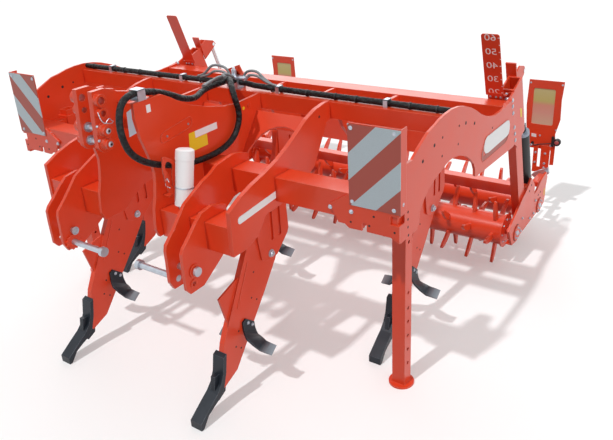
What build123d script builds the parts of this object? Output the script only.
"""Three-metre subsoiler with a double spiked roller, as separately named pieces.

Frame: X across the machine (+X is its left hand), -Y is the front, Z up, ground at Z = 0.
All sizes are in millimetres. Tables below hold (Y, Z) pairs measured from the photo.
Moving pieces are modelled in the parked pose, with the rollers lowered on to the ground.
"""
import math
import os

from build123d import *

os.makedirs("parts", exist_ok=True)

# driving sizes
FRAME_MID_Y = 791.25       # table Y that lies over the stored origin
SIDE_OUT, SIDE_T = 1500.0, 15.0
ARCH_OUT, ARCH_T = 750.0, 25.0
HEAD_OUT, HEAD_T = 235.0, 20.0
WALL = 10.0                # beam wall
LEAN = 20.0                # lean of the depth columns, degrees
TIP_R = 270.0              # roller spike tip radius
ROLL_Z = 700.0             # roller axis height with the frame raised
TRAVEL = (ROLL_Z - TIP_R) / math.cos(math.radians(LEAN))   # stroke of the roller frame
FRONT_ROLL_Y, REAR_ROLL_Y = 1440.0, 2000.0
CROSS_BAR = (1612, 1695, 918, 998)   # roller frame cross tube: y0, y1, z0, z1
SHANK_T, CARRIER_T = 36.0, 12.0
REAR_SHIFT = 1007.0        # second row of shanks behind the first
FRONT_ROW = (176.0 - ARCH_OUT, ARCH_OUT - 176.0)
REAR_ROW = (-1146.0, 0.0, 1146.0)
TUBE_OUT = SIDE_OUT - SIDE_T - 18.0     # depth column across the machine
TUBE_IN = TUBE_OUT - 57.0
TUBE_D = 120.0             # depth column along the machine
COL_TOP_Y, COL_TOP_Z = 1233.0, 1822.0
RUN_GAP = 6.0              # clearance round a sliding tube
RUN_FIT = 0.05             # clearance of a guide collar or bearing
CYL_X = TUBE_OUT - 55.0
CYL_REF_Y, CYL_REF_Z = 1620.0, 1440.0
CYL_R = 50.0
BARREL_L = TRAVEL + 102.4
LEG_X, LEG_Y, LEG_W = SIDE_OUT - 137.0, -73.0, 80.0
PIN_R = 18.3
BOARD_Y = 2430.0           # front face of the rear board plates, frame raised
ROLL_TUBE_R = 116.0
HOSE_R = 18.0

# beams: name, x half length, y0, y1, z0, z1
BEAMS = {
    "front_cross_tube": (ARCH_OUT - ARCH_T, -740, -575, 1005, 1165),
    "front_beam": (SIDE_OUT - SIDE_T, -368, -228, 1174, 1314),
    "arch_beam": (SIDE_OUT - SIDE_T, 209, 309, 1475, 1575),
    "rear_shank_beam": (SIDE_OUT - SIDE_T, 639, 779, 1174, 1314),
    "roller_support_beam": (SIDE_OUT - SIDE_T - 12, 1095, 1235, 1250, 1390),
}

SIDE_PLATE = [
    (-368, 1497), (-242, 1497), (-174, 1533), (-65, 1580), (5, 1592), (74, 1607), (145, 1616),
    (231, 1618), (322, 1607), (404, 1586), (492, 1554), (570, 1517), (654, 1470), (740, 1434),
    (827, 1408), (914, 1393), (1002, 1391), (1107, 1399), (1215, 1411), (1375, 1073),
    (1292, 1058), (627, 1089), (607, 1100), (601, 1144), (574, 1190), (517, 1239), (439, 1284),
    (351, 1318), (267, 1334), (211, 1337), (158, 1329), (84, 1311), (22, 1297), (-49, 1273),
    (-101, 1234), (-151, 1189), (-159, 1122), (-184, 1098), (-368, 1101), (-368, 1198),
    (-324, 1198), (-324, 1246), (-368, 1246),
]
HEAD_PLATE = [
    (-807, 1779), (-608, 1777), (-551, 1747), (-483, 1704), (-402, 1663), (-270, 1618),
    (-128, 1580), (-14, 1569), (209, 1575), (209, 1475), (174, 1468), (22, 1240), (-23, 1218),
    (-150, 1160), (-368, 1130), (-401, 1124), (-440, 1114), (-480, 1097), (-552, 1056),
    (-613, 1010), (-765, 1010), (-784, 1060), (-780, 1120), (-772, 1180), (-752, 1245),
    (-738, 1320), (-733, 1380), (-751, 1465), (-791, 1585), (-811, 1696),
]
ARCH_PLATE = [
    (-748, 1260), (-646, 1308), (-554, 1337), (-437, 1363), (-321, 1398), (-226, 1438),
    (-127, 1489), (-34, 1539), (59, 1570), (154, 1583), (209, 1584), (209, 1475), (174, 1468),
    (22, 1240), (-23, 1218), (-140, 1150), (-307, 1137), (-463, 1130), (-508, 1075),
    (-553, 1035), (-651, 1008), (-748, 1009),
]
STRUT_PLATE = [
    (309, 1575), (404, 1562), (492, 1534), (570, 1500), (654, 1458), (740, 1425), (827, 1402),
    (914, 1388), (1095, 1386), (1095, 1254), (930, 1240), (840, 1165), (620, 1160),
    (574, 1200), (517, 1244), (439, 1290), (360, 1380), (309, 1475),
]
TOP_LINK = [
    (-923, 1850), (-837, 1850), (-761, 1816), (-679, 1795), (-640, 1770), (-640, 1615),
    (-740, 1600), (-800, 1588), (-825, 1574), (-838, 1545), (-856, 1531), (-885, 1524),
    (-915, 1530), (-938, 1557), (-932, 1700),
]
CLEVIS_OUT = [
    (-560, 1196), (-587, 1205), (-667, 1230), (-752, 1218), (-805, 1177), (-851, 1133),
    (-908, 1084), (-925, 1057), (-927, 986), (-925, 846), (-900, 814), (-797, 814),
    (-631, 913), (-560, 985),
]
CLEVIS_IN = [
    (-207, 1350), (-260, 1372), (-321, 1387), (-357, 1387), (-482, 1370), (-536, 1342),
    (-604, 1320), (-708, 1272), (-759, 1246), (-807, 1195), (-854, 1145), (-922, 1082),
    (-931, 1051), (-931, 991), (-934, 870), (-908, 817), (-797, 814), (-631, 913),
    (-560, 985), (-460, 1090), (-368, 1140), (-207, 1160),
]
SHANK = [
    (-370, 1166), (-170, 1166), (-150, 960), (-168, 800), (-216, 700), (-340, 544),
    (-467, 395), (-544, 299), (-652, 171), (-743, 136), (-776, 124), (-800, 150),
    (-770, 235), (-748, 352), (-735, 400), (-679, 509), (-560, 718), (-466, 882),
    (-410, 990),
]
FIN = [(-540, 740), (-724, 684), (-668, 470), (-620, 560)]
CHISEL = [
    (-748, 352), (-776, 340), (-795, 240), (-822, 185), (-862, 145), (-915, 112), (-1014, 46),
    (-1014, 0), (-992, 4), (-945, 62), (-890, 88), (-835, 110), (-800, 150), (-770, 235),
]
CARRIER = [
    (-374, 1174), (-374, 887), (-352, 756), (-320, 735), (-250, 722), (-204, 731), (-93, 826),
    (-79, 854), (-88, 1015), (-130, 1174),
]
SLOTS = [(-242, 840, 1100), (-166, 838, 1100)]      # carrier slots: y, z low, z high
ROLLER_PLATE = [
    (1264, 782), (1310, 825), (1534, 941), (1633, 977), (1728, 1039), (1804, 975),
    (1838, 930), (1839, 858), (1912, 863), (1994, 908), (2070, 925), (2149, 935),
    (2189, 881), (2163, 806), (2167, 728), (2146, 664), (2100, 655), (1550, 640),
    (1458, 619), (1351, 632),
]
BRACKET = [                # front board bracket, (X, Z) of the left-hand one
    (1099, 1239), (1208, 1307), (1225, 1320), (1500, 1320), (1500, 1246), (1452, 1246),
    (1452, 1198), (1500, 1198), (1500, 1106), (1452, 1129), (1320, 1129), (1320, 1165),
    (1314, 1174), (1306, 1177), (1298, 1174), (1293, 1165), (1293, 1129), (1218, 1127),
    (1193, 1146), (1155, 1147), (1138, 1184),
]
REAR_PLATE = [             # rear board plate, (X, Z) of the left-hand one
    (1202, 1617), (1485, 1617), (1480, 1538), (1474, 1461), (1479, 1295), (1449, 1167),
    (1459, 1059), (1457, 892), (1425, 887), (1425, 1018), (1322, 1025), (1219, 1022),
    (1193, 1396),
]
WING = [                   # sections out from the shank: x, front edge y z, rear edge y z
    (18, -544, 464, -475, 406), (18, -574, 453, -474, 374), (24, -579, 404, -474, 343),
    (38, -589, 386, -476, 316), (62, -599, 361, -476, 306), (95, -583, 320, -487, 308),
    (130, -566, 286, -499, 313), (165, -560, 281, -502, 315), (196, -543, 267, -491, 304),
]
WING_T = 12.0
BLADE = [                  # roller spike, (radius, offset) round its outline
    (112, -26), (112, 26), (165, 21), (215, 8), (255, -11), (268.75, -25.9), (262, -37),
    (238, -38), (190, -31), (150, -28),
]
LEG_HOLES = [152, 250, 345, 440, 530, 631, 951]


def plate_x(pts, x0, x1):
    """Closed (Y, Z) outline given thickness across the machine."""
    lo, hi = min(x0, x1), max(x0, x1)
    face = Plane.YZ.offset(lo) * make_face(Polyline(*pts, close=True))
    return extrude(face, amount=hi - lo)


def block(x0, x1, y0, y1, z0, z1):
    """Plain box between two corners."""
    size = (abs(x1 - x0), abs(y1 - y0), abs(z1 - z0))
    return Pos((x0 + x1) / 2, (y0 + y1) / 2, (z0 + z1) / 2) * Box(*size)


def rod_x(y, z, r, x0, x1):
    """Round bar across the machine."""
    return Pos((x0 + x1) / 2, y, z) * Rot(0, 90, 0) * Cylinder(r, abs(x1 - x0))


def rod_z(x, y, r, z0, z1):
    """Upright round bar."""
    return Pos(x, y, (z0 + z1) / 2) * Cylinder(r, z1 - z0)


def both(make):
    """The same piece on both sides: make(sign) for +1 and -1."""
    return [make(1), make(-1)]


def slanted(x, y, z, shape, lean=LEAN):
    """Put a shape whose local Z points up a column leaning forwards at the top."""
    return Pos(x, y, z) * Rot(lean, 0, 0) * shape


def lowered(shape):
    """Move from the raised pose of the table to the parked pose."""
    a = math.radians(LEAN)
    return Pos(0, TRAVEL * math.sin(a), -TRAVEL * math.cos(a)) * shape


def save(name, shapes):
    """Write one node, moved so that the stored origin lies under its middle."""
    solids = []
    for s in shapes if isinstance(shapes, list) else [shapes]:
        solids += s.solids()
    moved = [Pos(0, -FRAME_MID_Y, 0) * s for s in solids]
    export_step(moved[0] if len(moved) == 1 else Compound(children=moved), f"parts/{name}.step")


def beam_block(name):
    """Outer envelope of a beam, used to cut the plates it passes through."""
    half, y0, y1, z0, z1 = BEAMS[name]
    return block(-half, half, y0, y1, z0, z1)


def beam(name):
    """Hollow beam, open at its ends, which butt against plates."""
    half, y0, y1, z0, z1 = BEAMS[name]
    core = block(-half, half, y0 + WALL, y1 - WALL, z0 + WALL, z1 - WALL)
    if name == "front_cross_tube":      # two halves, outside the headstock plates
        core = core + block(-HEAD_OUT, HEAD_OUT, y0, y1, z0, z1)
    if name == "arch_beam":             # with the plate that the valve block leans on
        pts = [(-102, z1), (-102, 1608), (-81, 1682), (15, 1716), (51, 1649), (51, z1)]
        face = Plane.XZ.offset(-298) * make_face(Polyline(*pts, close=True))
        return beam_block(name) - core + extrude(face, amount=8)
    return beam_block(name) - core


def frame_plates():
    """Long plates of the main frame, cut where the beams pass through them."""
    passing = [beam_block(n) for n in ("front_cross_tube", "front_beam")]
    shanks = beam_block("rear_shank_beam")
    head = both(lambda s: plate_x(HEAD_PLATE, s * HEAD_OUT, s * (HEAD_OUT - HEAD_T)))
    arch = both(lambda s: plate_x(ARCH_PLATE, s * ARCH_OUT, s * (ARCH_OUT - ARCH_T)))
    struts = []
    for out, t in ((HEAD_OUT, HEAD_T), (ARCH_OUT, ARCH_T)):
        struts += both(lambda s: plate_x(STRUT_PLATE, s * out, s * (out - t)) - shanks)
    save("headstock_plates", [p - passing[1] for p in head])
    save("arch_plates", [p - [passing[1]] for p in arch])
    save("rear_struts", struts)
    for side, sign in (("left", 1), ("right", -1)):
        save(f"side_plate_{side}", plate_x(SIDE_PLATE, sign * SIDE_OUT, sign * (SIDE_OUT - SIDE_T)))


def web(x0, x1, rise):
    """Slanted cross plate below the arch beam with an arched opening."""
    (ya, za), (yb, zb) = (174, 1468), (-23, 1218)
    length = math.hypot(ya - yb, za - zb)
    plane = Plane(origin=(0, yb, zb), x_dir=(1, 0, 0), z_dir=(0, -(za - zb), ya - yb))
    mid, half = (x0 + x1) / 2, (x1 - x0) / 2
    foot = half - 35
    arch = [(x0, 0), (x0, length), (x1, length), (x1, 0), (mid + foot, 0)]
    arch += [(mid + foot * math.cos(math.radians(t)), rise * math.sin(math.radians(t)))
             for t in range(15, 180, 15)]
    arch += [(mid - foot, 0)]
    return extrude(plane * make_face(Polyline(*arch, close=True)), amount=12)


def headstock():
    """Top-link plates, their box, the lower clevises and their pins."""
    box = block(-(HEAD_OUT - HEAD_T), HEAD_OUT - HEAD_T, -776, -640, 1625, 1765)
    core = block(-205, 205, -764, -652, 1637, 1753)
    plates = both(lambda s: plate_x(TOP_LINK, s * 45, s * 75))
    holes = [rod_x(-893, 1802, 19.5, -120, 120), rod_x(-893, 1736, 15.5, -120, 120)]
    pins = [rod_x(-893, 1645, PIN_R - 3, -120, 120), rod_x(-893, 1574, PIN_R - 3, -120, 120)]
    collars = []
    for z, r, hole in ((1802, 32, 19.5), (1736, 28, 15.5)):
        collars += both(lambda s: rod_x(-893, z, r, s * 75, s * 105) - rod_x(-893, z, hole, s * 70, s * 110))
    save("top_link_plates", [p - holes - pins for p in plates] + collars)
    save("headstock_box", box - core - both(lambda s: plate_x(TOP_LINK, s * 45, s * 75)))
    lower = [rod_x(-855, 932, PIN_R, 410, 580), rod_x(-855, 932, PIN_R, -410, -580)]
    stored = both(lambda s: rod_x(-872, 864, PIN_R, s * 160, s * 452) + rod_x(-872, 864, 29, s * 140, s * 165))
    empty = rod_x(-872, 864, 13, -600, 600)
    cuts = lower + [empty, beam_block("front_cross_tube"), beam_block("front_beam")]
    outer = both(lambda s: plate_x(CLEVIS_OUT, s * 540, s * 560))
    inner = both(lambda s: plate_x(CLEVIS_IN, s * 432, s * 452) - stored)
    save("lower_clevis_plates", [p - cuts for p in outer + inner])
    save("hitch_pins", lower + stored + pins)


def shank_set(x, dy):
    """One shank, its two carrier plates, chisel point and pair of wings."""
    half = SHANK_T / 2
    move = Pos(0, dy, 0)
    fin = plate_x(FIN, x - 6, x + 6)
    shank = move * (plate_x(SHANK, x - half, x + half) + fin)
    cheeks = []
    for s in (1, -1):
        cheek = plate_x(CARRIER, x + s * half, x + s * (half + CARRIER_T))
        for y, z0, z1 in SLOTS:
            cheek -= block(x - 40, x + 40, y - 13, y + 13, z0 + 13, z1 - 13)
            cheek -= [rod_x(y, z0 + 13, 13, x - 40, x + 40), rod_x(y, z1 - 13, 13, x - 40, x + 40)]
        cheeks.append(move * cheek)
    point = move * plate_x(CHISEL, x - 40, x + 40)
    wings = [move * wing(x, s) for s in (1, -1)]
    return shank, cheeks, point, wings


def wing(x, s):
    """Curved wing plate that flares out from the side of a shank."""
    mids = [Vector(w, (fy + ry) / 2, (fz + rz) / 2) for w, fy, fz, ry, rz in WING]
    wires = []
    for i, (w, fy, fz, ry, rz) in enumerate(WING):
        run = mids[min(i + 1, len(WING) - 1)] - mids[max(i - 1, 0)]
        if i == 0 or i == 1:
            run = Vector(0, -14.5, -21.5)
        front, back = Vector(w, fy, fz), Vector(w, ry, rz)
        off = run.cross(back - front).normalized() * WING_T
        wires.append(Wire.make_polygon([front, back, back + off, front + off], close=True))
    plate = Solid.make_loft(wires, ruled=True)
    if s < 0:
        plate = mirror(plate, about=Plane.YZ)
    return Pos(x, 0, 0) * plate


def shanks():
    """Both rows of shanks with what is on them."""
    rows = {"front": (FRONT_ROW, 0.0), "rear": (REAR_ROW, REAR_SHIFT)}
    points, wings = [], []
    for row, (xs, dy) in rows.items():
        bodies, cheeks = [], []
        for x in xs:
            b, c, p, w = shank_set(x, dy)
            bodies.append(b)
            cheeks += c
            points.append(p)
            wings += w
        save(f"{row}_shanks", bodies)
        save(f"{row}_shank_carriers", cheeks)
    save("chisel_points", points)
    save("wing_plates", wings)


def column_parts():
    """Sleeves, telescopic depth columns, scale plates and lift cylinders."""
    mid, wide = (TUBE_IN + TUBE_OUT) / 2, TUBE_OUT - TUBE_IN
    outer_x = SIDE_OUT - SIDE_T
    sleeve_wide = 2 * (outer_x - mid)
    tubes, scales, rods, barrels = [], [], [], []
    for side, s in (("left", 1), ("right", -1)):
        # local Z runs up the column, measured from the raised top of the tube
        def at(shape, s=s):
            return slanted(s * mid, COL_TOP_Y, COL_TOP_Z, shape)
        sleeve = Pos(0, 0, -590) * Box(sleeve_wide, TUBE_D + 36, 440)
        bore = Pos(0, 0, -590) * Box(wide + 2 * RUN_GAP, TUBE_D + 2 * RUN_GAP, 460)
        tail = plate_x([(1098, 1396), (1215, 1411), (1290, 1440), (1450, 1000), (1350, 1068),
                        (1292, 1062), (1098, 1070)], s * outer_x, s * (outer_x - 12))
        body = at(sleeve)
        lugs = [column_lug(s, x) for x in (CYL_X - 32, CYL_X + 22)]
        pad = Pos(s * (CYL_X - mid), TUBE_D / 2 + 24, -345) * Box(70, 12, 150)
        save(f"sleeve_{side}", body + (tail - at(sleeve)) + at(pad) + lugs - at(bore))
        tube = Pos(0, 0, -560) * Box(wide, TUBE_D, 1120)
        hollow = Pos(0, 0, -566) * Box(wide - 12, TUBE_D - 12, 1120)
        tubes.append(lowered(at(tube - hollow)))
        plate = Box(118, 5, 456)
        plate = fillet(plate.edges().filter_by(Axis.Y).group_by(Axis.Z)[-1], 16)
        plate = Pos(s * -71.5, -118, -167) * plate
        ledge = Pos(s * -43, -TUBE_D / 2 - 37.75, -391) * Box(99, 39.5, 8)
        foot = Pos(s * -6, -TUBE_D / 2 - 21, -422) * Box(78, 6, 70)
        scales.append(at(plate + ledge + foot))
        rod, barrel = cylinder(s)
        rods.append(rod)
        barrels.append(barrel)
    save("telescopic_columns", tubes)
    save("scale_plates", scales)
    save("cylinder_rods", rods)
    save("cylinder_barrels", barrels)


def column_lug(s, x):
    """Ear behind a sleeve that holds the top eye of the cylinder rod."""
    a = math.radians(LEAN)
    ey, ez = CYL_REF_Y - 70 * math.sin(a), CYL_REF_Z + 70 * math.cos(a)
    pts = [(1400, 1500), (1500, 1560), (ey, ez + 32), (ey + 32, ez), (ey, ez - 32), (1440, 1370)]
    ear = plate_x(pts, s * x, s * (x + 10)) - rod_x(ey, ez, 15, s * 1300, s * 1500)
    mid = (TUBE_IN + TUBE_OUT) / 2
    full = slanted(s * mid, COL_TOP_Y, COL_TOP_Z, Pos(0, -200, -590) * Box(240, TUBE_D + 36 + 400, 1400))
    return ear - full


def cylinder(s):
    """Lift cylinder: rod held by the sleeve, barrel on the roller frame."""
    def at(shape):
        return slanted(s * CYL_X, CYL_REF_Y, CYL_REF_Z, shape)
    eye = Rot(0, 90, 0) * Cylinder(28, 42)
    pin = Rot(0, 90, 0) * Cylinder(15, 72)
    low = BARREL_L - 10                 # depth of the bore's closed end
    rod = Pos(0, 0, (75 - low) / 2) * Cylinder(20, low + 65)
    rod = rod + Pos(0, 0, 25 - low) * Cylinder(CYL_R - 6.1, 40) + Pos(0, 0, 70) * (eye + pin)
    shell = Pos(0, 0, -BARREL_L / 2) * Cylinder(CYL_R, BARREL_L)
    shell = shell - Pos(0, 0, -(low + 40) / 2) * Cylinder(CYL_R - 6, low - 40)
    shell = shell - Pos(0, 0, -20) * Cylinder(20.05, 60)
    shell = shell + Pos(0, 0, -BARREL_L - 15) * Cylinder(20, 50)
    return at(rod), lowered(at(shell + Pos(0, 0, -BARREL_L - 40) * (eye + pin)))


def roller_frame():
    """Side plates, cross tube and rear boards of the frame that carries the rollers."""
    for side, s in (("left", 1), ("right", -1)):
        plate = plate_x(ROLLER_PLATE, s * TUBE_OUT, s * (TUBE_OUT + 15))
        for y in (FRONT_ROLL_Y, REAR_ROLL_Y):
            hub = rod_x(y, ROLL_Z, 62, s * (TUBE_OUT - 35), s * TUBE_OUT)
            plate = plate + hub - rod_x(y, ROLL_Z, 30.05, s * 1300, s * 1600)
        save(f"roller_side_plate_{side}", lowered(plate))
    bar = block(-TUBE_OUT, TUBE_OUT, *CROSS_BAR)
    y0, y1, z0, z1 = CROSS_BAR
    bar -= block(-TUBE_OUT, TUBE_OUT, y0 + 8, y1 - 8, z0 + 8, z1 - 8)
    ears = []
    a = math.radians(LEAN)
    drop = BARREL_L + 40
    ey, ez = CYL_REF_Y + drop * math.sin(a), CYL_REF_Z - drop * math.cos(a)
    for s in (1, -1):
        for x in (CYL_X - 32, CYL_X + 22):
            ear = plate_x([(y1 - 42, z0), (y1, z0), (y1 + 2, z0 - 38), (ey + 28, ez + 28), (ey + 32, ez),
                           (ey + 12, ez - 28), (ey - 16, ez - 30), (y1, z0 - 62)], s * x, s * (x + 10))
            ears.append(ear - rod_x(ey, ez, 15, s * 1300, s * 1500))
        mid = s * (TUBE_IN + TUBE_OUT) / 2
        bar -= slanted(mid, COL_TOP_Y, COL_TOP_Z, Pos(0, 0, -560) * Box(TUBE_OUT - TUBE_IN, TUBE_D, 1120))
    save("roller_cross_tube", lowered(bar + ears))
    plates, films = [], []
    for s in (1, -1):
        plates.append(lowered(rear_plate(s)))
        films.append(lowered(block(s * 1225, s * 1440, BOARD_Y + 5, BOARD_Y + 10, 1215, 1570)))
    save("rear_board_plates", plates)
    save("rear_boards", films)


def rear_plate(s):
    """Cut-out plate that holds a rear board, with its posts and carrying arm."""
    face = Plane.XZ.offset(-BOARD_Y - 5) * make_face(Polyline(*[(s * x, z) for x, z in REAR_PLATE], close=True))
    plate = extrude(face, amount=5)
    window = Box(176, 20, 309)
    window = fillet(window.edges().filter_by(Axis.Y), 16)
    plate -= Pos(s * 1332, BOARD_Y, 1392.5) * window
    out = TUBE_OUT
    arm = block(s * (out - 87), s * out, 2092, 2150, 815, 855)
    arm += block(s * (out - 87), s * (out - 37), 2150, BOARD_Y, 815, 855)
    posts = block(s * 1286, s * 1322, BOARD_Y - 12, BOARD_Y, 812, 1060)
    posts += block(s * 1348, s * 1421, BOARD_Y - 12, BOARD_Y, 812, 1060)
    posts += block(s * 1286, s * 1421, BOARD_Y - 12, BOARD_Y, 812, 862)
    return plate + arm + posts


def roller(name, y):
    """Tube with end flanges, stub axles and rings of curved spikes."""
    z = ROLL_Z
    end = TUBE_IN - 15
    body = rod_x(y, z, ROLL_TUBE_R, -end, end) - rod_x(y, z, ROLL_TUBE_R - 8, -end + 10, end - 10)
    for s in (1, -1):
        body += rod_x(y, z, ROLL_TUBE_R + 14, s * end, s * (end + 10))
        body += rod_x(y, z, 30, s * (end + 10), s * (TUBE_OUT + 13))
    grow = TIP_R / 270.0
    tip = math.degrees(math.atan2(-25.9, 268.75))
    blades = []
    for i in range(16):
        x = -1335 + i * 178
        for k in range(5):
            turn = math.radians(-90 - tip + 72 * k + 18 * (i % 4))
            pts = [(y + r * math.cos(turn) - w * math.sin(turn), z + r * math.sin(turn) + w * math.cos(turn))
                   for r, w in [(r * grow if r > 112 else r, w * grow) for r, w in BLADE]]
            blades.append(plate_x(pts, x - 10, x + 10))
    save(name, lowered(body + blades))


def legs():
    """Parking legs and the sleeves that hold them behind the front beam."""
    sleeves = []
    for side, s in (("left", 1), ("right", -1)):
        x, h = s * LEG_X, LEG_W / 2
        tube = block(x - h, x + h, LEG_Y - h, LEG_Y + h, 12, 1360)
        tube -= block(x - h + 6, x + h - 6, LEG_Y - h + 6, LEG_Y + h - 6, 12, 1370)
        for z in LEG_HOLES:
            tube -= rod_x(LEG_Y, z, 11, x - 60, x + 60)
        save(f"leg_{side}", tube + rod_z(x, LEG_Y, 75, 0, 12))
        box = block(x - 52, x + 52, LEG_Y - 52, LEG_Y + 52, 1120, 1320)
        box -= block(x - 46, x + 46, LEG_Y - 46, LEG_Y + 46, 1135, 1305)
        g = h + RUN_FIT
        box -= block(x - g, x + g, LEG_Y - g, LEG_Y + g, 1100, 1340)
        sleeves.append(box + block(x - 30, x + 30, -228, LEG_Y - 52, 1180, 1300))
    save("leg_sleeves", sleeves)


def boards():
    """Front warning boards on their bracket plates."""
    brackets = []
    for side, s in (("left", 1), ("right", -1)):
        save(f"front_board_{side}", block(s * 1225, s * 1507, -384, -380, 1261, 1685))
        face = Plane.XZ.offset(368) * make_face(Polyline(*[(s * x, z) for x, z in BRACKET], close=True))
        low = extrude(face, amount=12)
        back = block(s * 1225, s * 1507, -380, -376, 1255, 1690)
        lip = block(s * 1503, s * 1507, -380, -320, 1262, 1688)
        brackets.append(low + back + lip)
    save("board_brackets", brackets)


def hydraulics():
    """Valve block, document tube and hoses."""
    foot = block(-48, 48, 226, 290, 1575, 1583)
    body = block(-42, 42, 226, 290, 1583, 1652) + rod_z(-5, 258, 17, 1652, 1690)
    save("valve_block", foot + body)
    tube = Pos(345, -661, 1185) * Rot(-11.5, 0, 0) * Pos(0, 0, 150) * Cylinder(50, 300)
    save("document_tube", tube + block(325, 365, -681, -641, 1165, 1200))
    save_hoses()


def save_hoses():
    """Hose loop beside the headstock and a hose to each side along the arch beam."""
    hose("hose_loop", [(-20, 226, 1630), (-20, 150, 1630), (60, -100, 1662), (175, -330, 1655),
                       (190, -600, 1792), (225, -860, 1838), (262, -950, 1690), (262, -880, 1490),
                       (262, -520, 1345), (262, -150, 1338), (262, -20, 1480), (262, -75, 1650),
                       (110, 80, 1695), (22, 150, 1630), (22, 226, 1630)], HOSE_R)
    top, end = 1575 + HOSE_R + 2, SIDE_OUT - SIDE_T
    for name, s in (("hose_left", 1), ("hose_right", -1)):
        hose(name, [(s * 42, 258, 1612), (s * 95, 258, 1612), (s * 190, 262, top), (s * end, 262, top)], HOSE_R)


def hose(name, pts, r):
    """Plain hose: straight runs joined by tangent arcs."""
    radii = []
    for a, b, c in zip(pts, pts[1:], pts[2:]):
        u, v = Vector(*b) - Vector(*a), Vector(*c) - Vector(*b)
        turn = math.radians(u.get_angle(v))
        radii.append(0.45 * min(u.length, v.length) / math.tan(turn / 2))
    path = FilletPolyline(*pts, radius=radii)
    save(name, sweep(Plane(path @ 0, z_dir=path % 0) * Circle(r), path=path))


def main():
    """Write every node."""
    for name in BEAMS:
        save(name, beam(name))
    frame_plates()
    save("web_plates", [web(HEAD_OUT, ARCH_OUT - ARCH_T, 240), web(-ARCH_OUT + ARCH_T, -HEAD_OUT, 240),
                        web(-HEAD_OUT + HEAD_T, HEAD_OUT - HEAD_T, 240)])
    headstock()
    shanks()
    column_parts()
    roller_frame()
    roller("front_roller", FRONT_ROLL_Y)
    roller("rear_roller", REAR_ROLL_Y)
    legs()
    boards()
    hydraulics()


main()
